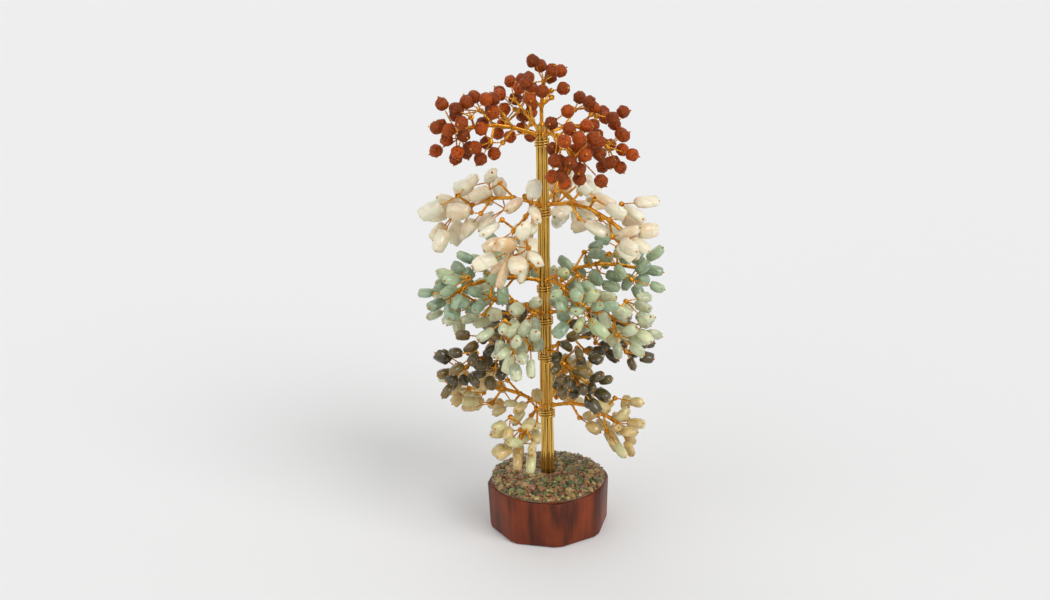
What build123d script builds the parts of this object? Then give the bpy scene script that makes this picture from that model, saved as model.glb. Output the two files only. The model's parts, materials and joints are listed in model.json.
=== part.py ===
from build123d import *

import math
import os
from random import Random
from typing import NamedTuple

import numpy as np

# All lengths are in millimetres and all angles in degrees.
# The origin is the middle of the foot, +Z is up and the front of the tree faces -Y.

# Wooden base: a round block with eight flats cut on it by hand
BASE_HEIGHT = 28.0
BASE_TOP_RADIUS = 35.0
BASE_FOOT_RADIUS = 34.0
BASE_FLATS = 8
BASE_FLAT_DEPTH = 1.7
BASE_FLAT_AZIMUTH = -59.3
BASE_EDGE = 1.0
BORE_FLOOR = 8.0
FIT_CLEARANCE = 0.1

# Glue mound on the base, and the gravel that is set in it
GLUE_RADIUS = 32.6
GLUE_EDGE_HEIGHT = 1.0
GLUE_CROWN_HEIGHT = 4.4
GRAVEL_SIZES = (2.2, 1.9, 1.6, 1.3)
GRAVEL_TRIES = 2500
GRAVEL_GAP = 0.12
GRAVEL_SINK = 0.9
GRAVEL_KINDS = ("green", "amber", "red")

# Trunk: strands that lean together round a core, with a seat for every branch
TRUNK_TOP = 236.0
TRUNK_FOOT_RADIUS = 4.1
TRUNK_TOP_RADIUS = 3.3
STRANDS = 8
STRAND_AZIMUTH = 22.5
STRAND_GAP = 0.04
BALL_RADIUS = 1.6
BALL_CLEARANCE = 0.12
SEAT_STANDOFF = 0.2

# Binding wire, wound round the trunk below every tier
BINDING_WIRE = 0.8
BINDING_PITCH = 1.45
BINDING_TURNS = 3
BINDING_DROP = 2.6

# Branch wires
STEM_RADIUS = 1.15
SIDE_STEM_RADIUS = 0.75
STEM_SIDES = 8
FORK_RADIUS = 1.7
KNOT_RADIUS = 1.6
KNOT_SIDES = 8
KNOT_LEVELS = (25.0, 65.0, 115.0, 155.0)
TWIG_RADIUS = 0.45
TWIG_SIDES = 5
TWIG_START = 1.2
TWIG_SPREAD = 42.0
PIN_RADIUS = 0.3
PIN_HEAD_RADIUS = 0.6
HOLE_RADIUS = 0.5
STONE_PLAY = 0.15
BUNCH_REACH = 15.0
STEM_RISE = 4.0
TWIG_LENGTHS = (2.4, 10.0)
BUNCH_STONES = (4, 4, 5, 5, 5, 5, 8)
BUNCH_TRIES = 360
CLEAR_GAP = 0.3


class Size(NamedTuple):
    """Least and greatest length, width and thickness of one kind of stone; a bead has one diameter."""

    length: tuple
    width: tuple
    thickness: tuple
    bead: float = 0.0


class Tier(NamedTuple):
    """One ring of four branches; reaches and drops run right, back, left and front."""

    name: str
    root_height: float
    first_azimuth: float
    half_sector: float
    half_slab: float
    keep_off: float
    reaches: tuple
    drops: tuple


class Stone(NamedTuple):
    """Rings of corners round the drilled axis, half the length on it, and balls on the axis that cover it."""

    rings: list
    half: float
    cover: list


class Run(NamedTuple):
    """One straight piece of wire."""

    start: np.ndarray
    end: np.ndarray
    radius: float


class Twig(NamedTuple):
    """One bunch wire from its knot, and the stone that is threaded on it."""

    knot: np.ndarray
    direction: np.ndarray
    shoulder: float
    stone: Stone


class Branch(NamedTuple):
    """Straight wires, balls of twisted wire and twigs of one branch."""

    name: str
    azimuth: float
    root: np.ndarray
    runs: list
    balls: list
    twigs: list


SIZES = {
    "seed": Size((8.0, 8.0), (8.0, 8.0), (8.0, 8.0), 8.0),
    "milky": Size((9.5, 12.5), (7.2, 9.2), (4.2, 5.4)),
    "greygreen": Size((7.6, 10.0), (6.0, 7.6), (4.6, 6.0)),
    "palegreen": Size((7.6, 10.0), (6.0, 7.6), (4.6, 6.0)),
    "dark": Size((6.4, 8.6), (5.8, 7.4), (4.6, 6.0)),
    "yellow": Size((6.8, 9.2), (5.8, 7.6), (4.4, 5.8)),
}

TIERS = (
    Tier("seed", 231.0, 22.5, 22.0, 20.0, 20.0, (54.0, 52.0, 64.0, 54.0), (-9.0, 6.0, 7.0, -5.0)),
    Tier("milky", 192.0, -22.5, 22.0, 19.0, 11.0, (63.0, 62.0, 69.0, 60.0), (-13.0, -11.0, -11.0, -13.0)),
    Tier("greygreen", 149.0, 22.5, 22.0, 16.5, 11.0, (72.0, 64.0, 70.0, 62.0), (-2.0, -1.0, 0.0, -3.0)),
    Tier("palegreen", 130.0, -22.5, 22.0, 17.0, 11.0, (66.0, 62.0, 69.0, 60.0), (-3.0, -3.0, -3.0, -4.0)),
    Tier("dark", 108.0, 22.5, 22.0, 16.0, 11.0, (68.0, 62.0, 66.0, 60.0), (-5.0, -4.0, -4.0, -6.0)),
    Tier("yellow", 74.0, -22.5, 22.0, 17.0, 11.0, (58.0, 56.0, 63.0, 56.0), (-6.0, -1.0, 3.0, -6.0)),
)

LEADER_RISE = 23.0
LEADER_SPREAD = 16.5
LEADER_TOP = 276.0


def unit(vector):
    return vector / np.linalg.norm(vector)


def across(direction):
    """Two unit vectors square to a direction and to each other."""
    helper = np.array([0.0, 0.0, 1.0]) if abs(direction[2]) < 0.9 else np.array([1.0, 0.0, 0.0])
    first = unit(np.cross(helper, direction))
    return first, np.cross(direction, first)


def faceted_solid(rings):
    """A closed solid through stacked rings of corners, with a flat cap on each end."""
    corners = [[Vector(*point) for point in ring] for ring in rings]
    faces = [Face(Wire.make_polygon(corners[0])), Face(Wire.make_polygon(corners[-1]))]
    for low, high in zip(corners, corners[1:]):
        for i in range(len(low)):
            j = (i + 1) % len(low)
            faces.append(Face(Wire.make_polygon([low[i], low[j], high[j], high[i]])))
    return Solid(Shell(faces))


def rod(start, end, radius, end_radius=None):
    length = float(np.linalg.norm(end - start))
    plane = Plane(origin=Vector(*start), z_dir=Vector(*(end - start)))
    if end_radius is None:
        return Solid.make_cylinder(radius, length, plane)
    return Solid.make_cone(radius, end_radius, length, plane)


def ball(centre, radius):
    return Solid.make_sphere(radius, Plane(origin=Vector(*centre)))


def polar(radius, azimuth, height):
    angle = math.radians(azimuth)
    return np.array([radius * math.cos(angle), radius * math.sin(angle), height])


def trunk_radius(height):
    """Outer radius of the bundle over its strands."""
    share = (height - BORE_FLOOR) / (TRUNK_TOP - BORE_FLOOR)
    return TRUNK_FOOT_RADIUS + share * (TRUNK_TOP_RADIUS - TRUNK_FOOT_RADIUS)


def strand_radius(bundle):
    """Radius of one strand when the strands stand side by side round the core."""
    sine = math.sin(math.pi / STRANDS)
    return (bundle * sine - STRAND_GAP / 2) / (1 + sine)


# Layout of stones and wires, in the branch's own frame: outward, sideways and up from the root height


def make_stone(chance, size):
    """One bead, or one tumbled chip as three rings of corners round its drilled axis."""
    if size.bead:
        return Stone([], size.bead / 2, [(0.0, size.bead / 2)])
    length = chance.uniform(*size.length)
    wide = chance.uniform(*size.width) / 2
    thick = chance.uniform(*size.thickness) / 2
    corners = 5
    angles = [math.tau * (i + chance.uniform(-0.22, 0.22)) / corners for i in range(corners)]
    roll = chance.uniform(0, math.tau)
    sine, cosine = math.sin(roll), math.cos(roll)
    waist = length * chance.uniform(-0.12, 0.12)
    ends = chance.uniform(0.58, 0.76), chance.uniform(0.58, 0.76)
    shares = ((ends[0], -length / 2), (1.0, waist), (ends[1], length / 2))
    shifts = (chance.uniform(-0.4, 0.4), 0.0, chance.uniform(-0.4, 0.4))
    rings = []
    for (share, z), shift in zip(shares, shifts):
        ring = [(share * wide * math.cos(a) + shift, share * thick * math.sin(a)) for a in angles]
        rings.append([(x * cosine - y * sine, x * sine + y * cosine, z) for x, y in ring])
    reaches = [max(math.hypot(x, y) for x, y, _ in ring) for ring in rings]
    cover = max(reaches) + 0.15
    near = length / 2 - math.sqrt(cover**2 - reaches[0] ** 2)
    far = length / 2 - math.sqrt(cover**2 - reaches[2] ** 2)
    places = (-near, (waist - near) / 2, waist, (waist + far) / 2, far)
    return Stone(rings, length / 2, [(place, cover) for place in places])


def stone_centre(twig):
    return twig.knot + twig.direction * (twig.shoulder + STONE_PLAY + twig.stone.half)


def stone_cover(twig):
    """Balls that cover the stone of a twig: a row of middle points and radii."""
    centre = stone_centre(twig)
    return [(centre + place * twig.direction, radius) for place, radius in twig.stone.cover]


def twig_cover(twig):
    """Balls along a twig, from where it is clear of its knot to its head."""
    end = twig.shoulder + 2 * twig.stone.half + 2 * STONE_PLAY + PIN_HEAD_RADIUS
    start = KNOT_RADIUS + 0.6
    steps = max(2, int((end - start) / 0.9))
    levels = [start + (end - start) * i / steps for i in range(steps)]
    row = [(twig.knot + twig.direction * level, TWIG_RADIUS) for level in levels]
    return row + [(twig.knot + twig.direction * end, PIN_HEAD_RADIUS)]


def run_cover(run):
    steps = int(np.linalg.norm(run.end - run.start) / 0.9)
    return [(run.start + (run.end - run.start) * i / steps, run.radius) for i in range(steps + 1)]


def clear_of(balls, others):
    """Whether two heaps of balls keep the least gap."""
    if not others:
        return True
    places = np.array([centre for centre, _ in balls])
    radii = np.array([radius for _, radius in balls])
    other_places = np.array([centre for centre, _ in others])
    other_radii = np.array([radius for _, radius in others])
    gaps = np.linalg.norm(places[:, None, :] - other_places[None, :, :], axis=2)
    return bool((gaps - radii[:, None] - other_radii[None, :]).min() > CLEAR_GAP)


def turned_clear(direction, others, angle):
    """Whether a direction stands further than an angle from each of the others."""
    limit = math.cos(math.radians(angle))
    return all(float(direction @ other) < limit for other in others)


def grow_bunch(chance, knot, away, count, size, fixed, twigs, allowed):
    """Add up to count twigs at a knot, each where there is room for its stone."""
    own = math.degrees(math.asin(TWIG_RADIUS / KNOT_RADIUS))
    stem = math.degrees(math.asin(STEM_RADIUS / KNOT_RADIUS if size.bead else SIDE_STEM_RADIUS / KNOT_RADIUS))
    stones = [piece for twig in twigs for piece in stone_cover(twig)]
    wires = fixed + [piece for twig in twigs for piece in twig_cover(twig)]
    mates = []
    for _ in range(count):
        stone = make_stone(chance, size)
        for _ in range(BUNCH_TRIES):
            spread = np.array([chance.gauss(0, 1) for _ in range(3)])
            direction = unit(0.5 * away + unit(spread))
            twig = Twig(knot, direction, KNOT_RADIUS + chance.uniform(*TWIG_LENGTHS), stone)
            cover = stone_cover(twig)
            if not all(allowed(centre, radius) for centre, radius in cover):
                continue
            if not turned_clear(direction, mates, TWIG_SPREAD):
                continue
            if not turned_clear(direction, [-away], own + stem + 4):
                continue
            line = twig_cover(twig)
            if clear_of(cover, wires + stones) and clear_of(line, wires + stones):
                twigs.append(twig)
                mates.append(direction)
                stones += cover
                wires += line
                break


def lay_out_branch(tier, index):
    """Wires and stones of one branch, in the branch's own frame."""
    chance = Random(f"{tier.name} {index}")
    start = trunk_radius(tier.root_height) + SEAT_STANDOFF
    reach = tier.reaches[index]
    drop = tier.drops[index]
    end = reach - BUNCH_REACH
    hand = 1 if index % 2 else -1
    shares = (0.0, 0.27, 0.52, 0.77, 1.0)
    bends = [
        np.array([start + s * (end - start), 0.0, 1.2 * STEM_RISE * math.sin(math.pi * s) + drop * s**1.5])
        for s in shares
    ]
    root, first, second, third, tip = bends
    widen = 0.45 * hand * math.tan(math.radians(tier.half_sector))
    sides = [
        (fork, fork + np.array([out, side * widen * (fork[0] + out), rise]))
        for fork, out, side, rise in (
            (first, 7.0, -0.4, 8.0),
            (first, 6.0, 0.5, -7.5),
            (second, 5.0, 1.0, 7.0),
            (second, 4.5, -1.0, -7.5),
            (third, 4.5, 1.0, -7.0),
            (third, 4.5, -1.0, 7.0),
        )
    ]
    runs = [Run(a, b, STEM_RADIUS) for a, b in zip(bends, bends[1:])]
    runs += [Run(a, b, SIDE_STEM_RADIUS) for a, b in sides]
    balls = [(root, BALL_RADIUS), (first, FORK_RADIUS), (second, FORK_RADIUS), (third, FORK_RADIUS)]
    balls += [(knot, KNOT_RADIUS) for knot in [tip] + [knot for _, knot in sides]]
    sine = math.sin(math.radians(tier.half_sector))
    cosine = math.cos(math.radians(tier.half_sector))

    def allowed(centre, size):
        middle = np.interp(centre[0], [point[0] for point in bends], [point[2] for point in bends])
        inside = centre[0] * sine - abs(centre[1]) * cosine > size
        level = abs(centre[2] - middle) + size < tier.half_slab
        return inside and level and tier.keep_off + size < centre[0] < reach - size

    twigs = []
    bunches = [(knot, unit(knot - fork)) for fork, knot in sides] + [(tip, unit(tip - third))]
    for (knot, away), count in zip(bunches, BUNCH_STONES):
        fixed = [piece for run in runs for piece in run_cover(run)]
        fixed += [piece for piece in balls if not np.allclose(piece[0], knot)]
        grow_bunch(chance, knot, away, count, SIZES[tier.name], fixed, twigs, allowed)
    azimuth = tier.first_azimuth + 90 * index
    place = polar(start, azimuth, tier.root_height)
    return Branch(f"{tier.name}_branch_{index + 1}", azimuth, place, runs, balls, twigs)


def lay_out_leader():
    """The upright end of the trunk; its own frame runs up, right and back."""
    chance = Random("leader")
    root = np.array([TRUNK_TOP + SEAT_STANDOFF, 0.0, 0.0])
    fork = root + np.array([9.5, 0.0, 0.0])
    tip = root + np.array([LEADER_RISE, 1.5, 0.0])
    sides = (
        (fork, fork + np.array([7.0, -7.5, -2.0])),
        (fork, fork + np.array([7.0, 5.5, 6.0])),
        (fork, fork + np.array([6.0, 5.5, -6.5])),
    )
    runs = [Run(root, fork, STEM_RADIUS), Run(fork, tip, STEM_RADIUS)]
    runs += [Run(a, b, SIDE_STEM_RADIUS) for a, b in sides]
    balls = [(root, BALL_RADIUS), (fork, FORK_RADIUS), (tip, KNOT_RADIUS)]
    balls += [(knot, KNOT_RADIUS) for _, knot in sides]

    def allowed(centre, size):
        inside = math.hypot(centre[1], centre[2]) + size < LEADER_SPREAD
        return inside and TRUNK_TOP + 10 + size < centre[0] < LEADER_TOP - size

    twigs = []
    bunches = [(tip, unit(tip - fork))] + [(knot, unit(knot - side)) for side, knot in sides]
    for (knot, away), count in zip(bunches, (6, 4, 4, 4)):
        fixed = [piece for run in runs for piece in run_cover(run)]
        fixed += [piece for piece in balls if not np.allclose(piece[0], knot)]
        grow_bunch(chance, knot, away, count, SIZES["seed"], fixed, twigs, allowed)
    return Branch("leader", 0.0, np.array([0.0, 0.0, TRUNK_TOP + SEAT_STANDOFF]), runs, balls, twigs)


def to_tree(branch):
    """The same branch in the frame of the whole tree."""
    if branch.name == "leader":
        turn = np.array([[0.0, 1.0, 0.0], [0.0, 0.0, 1.0], [1.0, 0.0, 0.0]])
        shift = np.zeros(3)
    else:
        outward = polar(1.0, branch.azimuth, 0.0)
        sideways = polar(1.0, branch.azimuth + 90, 0.0)
        turn = np.column_stack([outward, sideways, [0.0, 0.0, 1.0]])
        shift = np.array([0.0, 0.0, branch.root[2]])
    runs = [Run(turn @ run.start + shift, turn @ run.end + shift, run.radius) for run in branch.runs]
    balls = [(turn @ centre + shift, radius) for centre, radius in branch.balls]
    twigs = [t._replace(knot=turn @ t.knot + shift, direction=turn @ t.direction) for t in branch.twigs]
    return branch._replace(runs=runs, balls=balls, twigs=twigs)


def lay_out_tree():
    branches = [lay_out_branch(tier, index) for tier in TIERS for index in range(4)]
    return [to_tree(branch) for branch in branches + [lay_out_leader()]]


# Solids


def many_sided(origin, axis, outline, sides):
    """A solid with flat sides about an axis: the outline gives the level and the radius of each ring."""
    first, second = across(axis)
    turns = [math.tau * i / sides for i in range(sides)]
    spokes = [math.cos(turn) * first + math.sin(turn) * second for turn in turns]
    rings = [[origin + level * axis + radius * way for way in spokes] for level, radius in outline]
    return faceted_solid(rings)


def make_twig(twig):
    """A twisted pair to the stone, one wire through it, and the end of that wire turned over to a head."""
    shoulder = twig.shoulder
    neck = shoulder + 2 * twig.stone.half + 2 * STONE_PLAY
    outline = (
        (TWIG_START, TWIG_RADIUS),
        (shoulder, TWIG_RADIUS),
        (shoulder, PIN_RADIUS),
        (neck, PIN_RADIUS),
        (neck + PIN_HEAD_RADIUS, PIN_HEAD_RADIUS),
        (neck + 2 * PIN_HEAD_RADIUS, PIN_RADIUS),
    )
    return many_sided(twig.knot, twig.direction, outline, TWIG_SIDES)


def make_stem(run):
    """One straight stretch of twisted stem."""
    along = run.end - run.start
    outline = ((0.0, run.radius), (np.linalg.norm(along), run.radius))
    return many_sided(run.start, unit(along), outline, STEM_SIDES)


def make_knot(centre, radius, chance):
    """A ball of twisted wire, with flat sides and turned its own way."""
    pole = unit(np.array([chance.gauss(0, 1) for _ in range(3)]))
    bends = [math.radians(bend) for bend in KNOT_LEVELS]
    outline = [(-radius * math.cos(bend), radius * math.sin(bend)) for bend in bends]
    return many_sided(centre, pole, outline, KNOT_SIDES)


def make_root(centre, radius, away):
    """The round ball that a branch turns on, with its seam on the far side from the stem."""
    side, _ = across(away)
    return Solid.make_sphere(radius, Plane(origin=Vector(*centre), x_dir=Vector(*-away), z_dir=Vector(*side)))


def make_wires(branch):
    """All the wires of a branch in one piece: its root ball, stems, knots and bunch wires."""
    chance = Random(f"{branch.name} knots")
    first = branch.runs[0]
    root = make_root(*branch.balls[0], unit(first.end - first.start))
    stems = [make_stem(run) for run in branch.runs]
    knots = [make_knot(centre, radius, chance) for centre, radius in branch.balls[1:]]
    return root.fuse(*stems, *knots, *[make_twig(twig) for twig in branch.twigs])


def make_bead(twig):
    """A round bead with its drilled hole, turned about the line of its wire."""
    radius = twig.stone.half
    flat = math.sqrt(radius**2 - HOLE_RADIUS**2)
    skin = ThreePointArc((HOLE_RADIUS, -flat), (radius, 0), (HOLE_RADIUS, flat))
    hole = Line((HOLE_RADIUS, flat), (HOLE_RADIUS, -flat))
    bead = Solid.revolve(Plane.XZ * Face(Wire([skin.edge(), hole.edge()])), 360, Axis.Z)
    return Plane(origin=Vector(*stone_centre(twig)), z_dir=Vector(*twig.direction)) * bead


def make_chip(twig):
    """A tumbled chip, drilled along the line of its wire."""
    centre = stone_centre(twig)
    first, second = across(twig.direction)
    rings = [
        [centre + x * first + y * second + z * twig.direction for x, y, z in ring]
        for ring in twig.stone.rings
    ]
    reach = twig.direction * (twig.stone.half + 1)
    return faceted_solid(rings) - rod(centre - reach, centre + reach, HOLE_RADIUS)


def make_stones(branch):
    return Compound([make_chip(twig) if twig.stone.rings else make_bead(twig) for twig in branch.twigs])


def make_base():
    """A slightly tapered round block with eight flats, eased edges and the bore for the trunk."""
    block = Solid.make_cone(BASE_FOOT_RADIUS, BASE_TOP_RADIUS, BASE_HEIGHT)
    lean = math.degrees(math.atan2(BASE_TOP_RADIUS - BASE_FOOT_RADIUS, BASE_HEIGHT))
    waste = []
    for i in range(BASE_FLATS):
        cutter = Box(20, 80, 3 * BASE_HEIGHT, align=(Align.MIN, Align.CENTER, Align.CENTER))
        at = Pos(BASE_FOOT_RADIUS - BASE_FLAT_DEPTH, 0, 0) * Rot(0, lean, 0)
        waste.append(Rot(0, 0, BASE_FLAT_AZIMUTH + 360 * i / BASE_FLATS) * at * cutter)
    block = block.cut(*[piece.solid() for piece in waste])
    rims = block.faces().sort_by(Axis.Z)[-1].edges() + block.faces().sort_by(Axis.Z)[0].edges()
    block = block.chamfer(BASE_EDGE, None, rims)
    floor = Plane(origin=(0, 0, BORE_FLOOR))
    return block - Solid.make_cylinder(TRUNK_FOOT_RADIUS + FIT_CLEARANCE, BASE_HEIGHT, floor)


def glue_height(radius):
    """Height of the glue mound over the base at a distance from the trunk."""
    share = max(0.0, 1 - (radius / GLUE_RADIUS) ** 2)
    return GLUE_EDGE_HEIGHT + share * (GLUE_CROWN_HEIGHT - GLUE_EDGE_HEIGHT)


def make_glue():
    bore = TRUNK_FOOT_RADIUS + FIT_CLEARANCE
    middle = (bore + GLUE_RADIUS) / 2
    inner, half_way, outer = [(r, BASE_HEIGHT + glue_height(r)) for r in (bore, middle, GLUE_RADIUS)]
    sides = Polyline(inner, (bore, BASE_HEIGHT), (GLUE_RADIUS, BASE_HEIGHT), outer)
    crown = ThreePointArc(outer, half_way, inner)
    return Solid.revolve(Plane.XZ * Face(Wire([*sides.edges(), crown.edge()])), 360, Axis.Z)


def scatter_gravel(chance):
    """Places and sizes of the gravel, the large chips first and the small ones in the gaps between them."""
    rim = BASE_TOP_RADIUS - BASE_FLAT_DEPTH - 0.5
    placed = []
    for size in GRAVEL_SIZES:
        for _ in range(GRAVEL_TRIES):
            radius = size * chance.uniform(0.92, 1.08)
            distance = rim * math.sqrt(chance.random())
            angle = chance.uniform(0, math.tau)
            x, y = distance * math.cos(angle), distance * math.sin(angle)
            if not TRUNK_FOOT_RADIUS + radius + 0.3 < distance < rim - radius:
                continue
            if all(math.hypot(x - a, y - b) > radius + other + GRAVEL_GAP for a, b, other in placed):
                placed.append((x, y, radius))
    return placed


def make_gravel():
    """Small uneven chips, each turned its own way and sunk in the glue, sorted by colour."""
    chance = Random("gravel")
    heaps = {kind: [] for kind in GRAVEL_KINDS}
    for x, y, wide in scatter_gravel(chance):
        narrow = wide * chance.uniform(0.66, 0.95)
        flat = narrow * chance.uniform(0.5, 0.75)
        angles = [math.tau * (i + chance.uniform(-0.2, 0.2)) / 5 for i in range(5)]
        shares = ((1.0, -0.5 * flat), (chance.uniform(0.5, 0.7), flat))
        axis = unit(np.array([chance.uniform(-0.25, 0.25), chance.uniform(-0.25, 0.25), 1.0]))
        roll = chance.uniform(0, math.tau)
        first = unit(np.cross(np.array([-math.sin(roll), math.cos(roll), 0.0]), axis))
        second = np.cross(axis, first)
        corners = [
            [s * (wide * math.cos(a) * first + narrow * math.sin(a) * second) + z * axis for a in angles]
            for s, z in shares
        ]
        lowest = min(point[2] for ring in corners for point in ring)
        height = BASE_HEIGHT + max(glue_height(math.hypot(x, y)) - GRAVEL_SINK, 0.05) - lowest
        rings = [[point + np.array([x, y, height]) for point in ring] for ring in corners]
        heaps[chance.choice(GRAVEL_KINDS)].append(faceted_solid(rings))
    return {kind: Compound(heap) for kind, heap in heaps.items()}


def make_strands(branches):
    """Tapered strands that lean together, with a round seat for each branch cut in its own strand."""
    low = strand_radius(TRUNK_FOOT_RADIUS)
    high = strand_radius(TRUNK_TOP_RADIUS)
    strands = []
    for i in range(STRANDS):
        azimuth = STRAND_AZIMUTH + 360 * i / STRANDS
        foot = polar(TRUNK_FOOT_RADIUS - low, azimuth, BORE_FLOOR + FIT_CLEARANCE)
        top = polar(TRUNK_TOP_RADIUS - high, azimuth, TRUNK_TOP)
        strand = rod(foot, top, low, high)
        for branch in branches:
            if branch.name != "leader" and abs((branch.azimuth - azimuth + 180) % 360 - 180) < 1:
                strand = strand - ball(branch.root, BALL_RADIUS + BALL_CLEARANCE)
        top_seat = np.array([0.0, 0.0, TRUNK_TOP + SEAT_STANDOFF])
        strands.append(strand - ball(top_seat, BALL_RADIUS + BALL_CLEARANCE))
    return Compound(strands)


def make_core():
    """The wires in the middle of the bundle, with the seat of the leader on top."""
    low = TRUNK_FOOT_RADIUS - 2 * strand_radius(TRUNK_FOOT_RADIUS) - STRAND_GAP
    high = TRUNK_TOP_RADIUS - 2 * strand_radius(TRUNK_TOP_RADIUS) - STRAND_GAP
    core = Solid.make_cone(low, high, TRUNK_TOP - BORE_FLOOR, Plane(origin=(0, 0, BORE_FLOOR)))
    return core - ball(np.array([0.0, 0.0, TRUNK_TOP + SEAT_STANDOFF]), BALL_RADIUS + BALL_CLEARANCE)


def helix_point(radius, low, turn):
    return polar(radius, 360 * turn, low + BINDING_PITCH * turn)


def helix_tangent(radius, turn):
    angle = math.tau * turn
    rise = BINDING_PITCH / math.tau
    return unit(np.array([-radius * math.sin(angle), radius * math.cos(angle), rise]))


def make_binding(radius, low, start):
    """One unbroken wire wound round the trunk: pairs of tangent arcs by quarter turns, with straight ends."""
    turns = [start + i / 4 for i in range(4 * BINDING_TURNS + 1)]
    low -= BINDING_PITCH * start
    points = [helix_point(radius, low, turn) for turn in turns]
    tangents = [helix_tangent(radius, turn) for turn in turns]
    head = points[0] - BINDING_WIRE * tangents[0]
    edges = [Edge.make_line(Vector(*head), Vector(*points[0]))]
    for p, q, s, t in zip(points, points[1:], tangents, tangents[1:]):
        gap = q - p
        both = s + t
        spare = 2 * (1 - s @ t)
        arm = (math.sqrt((gap @ both) ** 2 + spare * (gap @ gap)) - gap @ both) / spare
        joint = (p + arm * s + q - arm * t) / 2
        middle = unit((q - arm * t) - (p + arm * s))
        edges.append(Edge.make_tangent_arc(Vector(*p), Vector(*s), Vector(*joint)))
        edges.append(Edge.make_tangent_arc(Vector(*joint), Vector(*middle), Vector(*q)))
    tail = points[-1] + BINDING_WIRE * tangents[-1]
    edges.append(Edge.make_line(Vector(*points[-1]), Vector(*tail)))
    path = Wire(edges)
    section = Plane(origin=Vector(*head), z_dir=Vector(*tangents[0])) * Circle(BINDING_WIRE / 2)
    return sweep(section, path=path).solid(), path


def least_gap(path):
    """Least gap of a wound wire to itself, measured on points of its middle line."""
    count = 240
    points = np.array([tuple(path @ (i / count)) for i in range(count + 1)])
    step = path.length / count
    skip = int(3 * BINDING_WIRE / step) + 1
    gaps = [np.linalg.norm(points[i + skip:] - points[i], axis=1).min() for i in range(count - skip)]
    return min(gaps) - BINDING_WIRE


def make_bindings():
    coils = []
    for number, tier in enumerate(TIERS):
        high = tier.root_height - BINDING_DROP - BINDING_WIRE / 2
        low = high - BINDING_PITCH * BINDING_TURNS
        radius = trunk_radius(low) + BINDING_WIRE / 2 + 0.06
        coil, path = make_binding(radius, low, 0.19 * number)
        print(f"binding {tier.name}: least gap to itself {least_gap(path):.2f} mm")
        coils.append(coil)
    return Compound(coils)


def main():
    os.makedirs("parts", exist_ok=True)
    branches = lay_out_tree()
    pieces = {"wooden_base": make_base(), "glue_bed": make_glue()}
    pieces |= {f"gravel_{kind}": heap for kind, heap in make_gravel().items()}
    pieces["trunk_strands"] = make_strands(branches)
    pieces["trunk_core"] = make_core()
    pieces["trunk_bindings"] = make_bindings()
    for branch in branches:
        pieces[f"{branch.name}_wires"] = make_wires(branch)
        pieces[f"{branch.name}_stones"] = make_stones(branch)
    for name, shape in pieces.items():
        flat_sided = name.endswith(("_wires", "_stones")) or name.startswith("gravel_")
        export_step(shape, f"parts/{name}.step", write_pcurves=not flat_sided)
        print(f"{name}: {len(shape.solids())} solids, {shape.volume:.1f} mm3, valid {shape.is_valid}")


if __name__ == "__main__":
    main()
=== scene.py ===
"""Looks of a gemstone tree ornament: a bendable wire tree with stone chips on a wooden base."""

import json
import math
import random

import bmesh
import bpy
import numpy as np
from bpy.props import FloatProperty, FloatVectorProperty, IntProperty, PointerProperty
from mathutils import Matrix, Vector
from mathutils.bvhtree import BVHTree

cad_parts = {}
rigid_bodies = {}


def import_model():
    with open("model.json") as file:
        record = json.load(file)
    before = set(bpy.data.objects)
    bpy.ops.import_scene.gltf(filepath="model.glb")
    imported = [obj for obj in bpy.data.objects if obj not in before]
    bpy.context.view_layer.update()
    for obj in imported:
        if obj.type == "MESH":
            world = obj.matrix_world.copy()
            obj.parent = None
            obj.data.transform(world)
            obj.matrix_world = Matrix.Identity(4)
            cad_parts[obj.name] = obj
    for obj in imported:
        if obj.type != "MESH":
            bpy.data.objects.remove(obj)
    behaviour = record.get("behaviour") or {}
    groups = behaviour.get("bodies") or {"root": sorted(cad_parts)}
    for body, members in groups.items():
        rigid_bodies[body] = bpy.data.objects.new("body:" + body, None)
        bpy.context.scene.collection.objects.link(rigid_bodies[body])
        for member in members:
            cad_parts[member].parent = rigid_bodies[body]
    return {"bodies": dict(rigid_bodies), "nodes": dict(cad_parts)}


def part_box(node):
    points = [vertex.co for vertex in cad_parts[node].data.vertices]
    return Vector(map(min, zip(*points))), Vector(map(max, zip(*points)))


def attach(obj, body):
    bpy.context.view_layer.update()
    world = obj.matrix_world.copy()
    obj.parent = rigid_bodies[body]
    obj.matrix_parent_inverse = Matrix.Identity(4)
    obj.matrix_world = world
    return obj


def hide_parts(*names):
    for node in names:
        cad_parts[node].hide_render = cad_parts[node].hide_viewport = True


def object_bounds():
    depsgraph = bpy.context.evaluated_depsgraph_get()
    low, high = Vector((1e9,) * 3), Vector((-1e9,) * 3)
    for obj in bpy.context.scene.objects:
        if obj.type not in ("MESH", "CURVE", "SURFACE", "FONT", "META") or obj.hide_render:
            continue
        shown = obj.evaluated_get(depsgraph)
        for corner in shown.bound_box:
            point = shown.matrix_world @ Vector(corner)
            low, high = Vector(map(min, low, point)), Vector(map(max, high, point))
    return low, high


bl_info = {
    "name": "Gemstone Tree",
    "version": (1, 0, 0),
    "blender": (4, 5, 0),
    "location": "View3D > Sidebar > Gem Tree",
    "description": "Builds the wires, stones, gravel and wooden base of a gemstone tree",
    "category": "Object",
}

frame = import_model()
CAD_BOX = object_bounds()
TRUNK = "trunk_and_base"
BRANCHES = [name for name in frame["bodies"] if name != TRUNK]
BEADED = ("seed_", "leader")
MM = 0.001
UP, DOWN = Vector((0, 0, 1)), Vector((0, 0, -1))
SAME_POINT = 2e-6

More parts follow.
